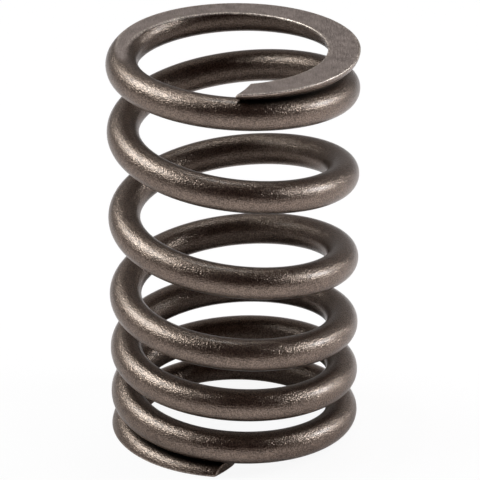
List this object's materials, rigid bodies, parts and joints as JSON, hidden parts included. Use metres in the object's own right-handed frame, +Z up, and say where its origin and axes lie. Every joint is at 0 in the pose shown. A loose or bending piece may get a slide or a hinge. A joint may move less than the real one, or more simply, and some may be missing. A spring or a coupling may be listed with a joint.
{
  "type": "engine valve spring",
  "caption": "Compression coil spring of round wire, close-wound below and open above, with closed and ground ends, that shuts an engine valve.",
  "frame": {"origin": "on the coil's axis, in the plane of the lower ground face that the spring stands on", "axes": "+Z up along the coil's axis, from the close-wound end to the open end; -Y towards the side where both wire tips lie"},
  "size_m": [0.0314, 0.0314, 0.0514],
  "materials": {
    "spring_steel": "shot peened, dark bronze-brown, fine sparkling grain; ground faces at both ends smoother and greyer"
  },
  "bodies": {
    "root": {"valve_spring": "spring_steel"}
  },
  "joints": []
}
